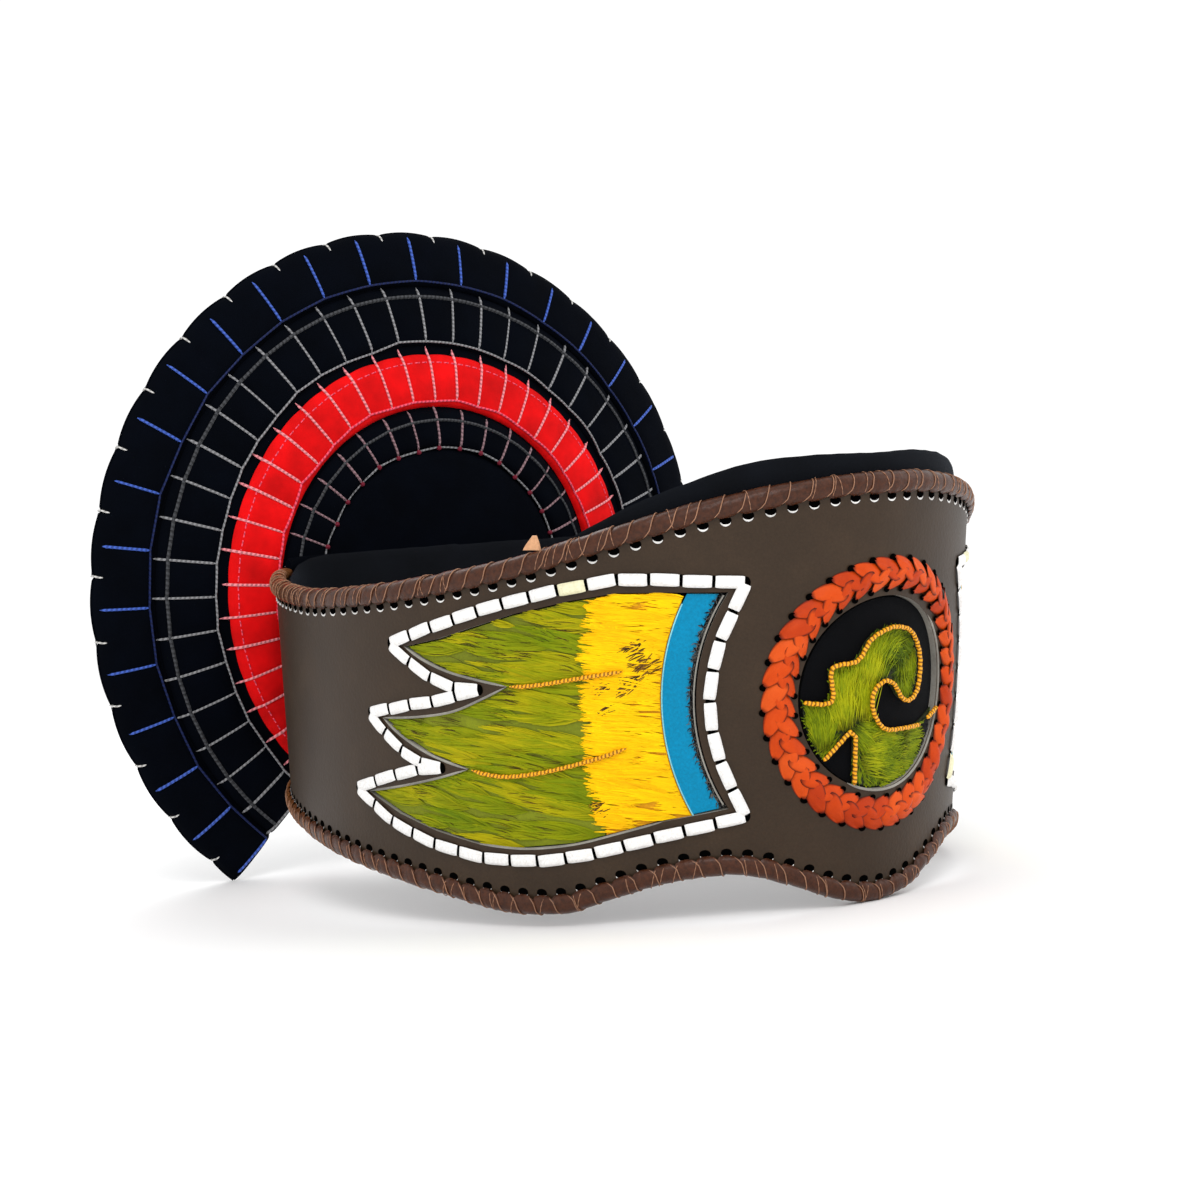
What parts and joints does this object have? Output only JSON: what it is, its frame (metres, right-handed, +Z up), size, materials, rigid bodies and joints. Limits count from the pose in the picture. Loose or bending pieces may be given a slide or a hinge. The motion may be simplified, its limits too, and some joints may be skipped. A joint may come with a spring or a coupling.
{
  "type": "feathered headdress",
  "caption": "Dance headdress: stiff leather headband with inlaid feather work and laced rims, and behind it an upright dished fan of stitched feather-pocket tiers.",
  "frame": {"origin": "on the surface it stands on, under the middle of the whole headdress's box", "axes": "+Z up; the wearer faces -Y, so the medallion is at -Y and the fan at +Y; +X is the wearer's left"},
  "size_m": [0.2178, 0.2224, 0.1924],
  "materials": {
    "leather": "smooth dark grey-brown leather",
    "lacing": "wound brown leather lace",
    "tan": "raw tan lace end",
    "lining": "black velvet",
    "felt": "black felt",
    "green": "olive green down feathers",
    "yellow": "bright yellow down feathers",
    "blue": "painted blue leather",
    "white": "flat white lace",
    "orange": "braided orange leather lace",
    "gold": "twisted gold cord",
    "black": "black cloth",
    "red": "bright red cloth"
  },
  "bodies": {
    "root": {"headband_leather": "leather", "headband_lining": "lining", "headband_back": "black", "rim_lacing_top": "lacing", "rim_lacing_bottom": "lacing", "lace_end": "tan", "medallion_backing": "felt", "medallion_feathers": "green", "medallion_cord_upper": "gold", "medallion_cord_lower": "gold", "medallion_braid": "orange", "fan_backing": "black", "fan_tier_1": "black", "fan_tier_2": "black", "fan_tier_3": "red", "fan_tier_4": "black", "wing_green_right": "green", "wing_yellow_right": "yellow", "wing_blue_strip_right": "blue", "wing_dark_strip_right": "felt", "wing_lacing_right": "white", "wing_cord_upper_right": "gold", "wing_cord_lower_right": "gold", "wing_green_left": "green", "wing_yellow_left": "yellow", "wing_blue_strip_left": "blue", "wing_dark_strip_left": "felt", "wing_lacing_left": "white", "wing_cord_upper_left": "gold", "wing_cord_lower_left": "gold"}
  },
  "joints": []
}
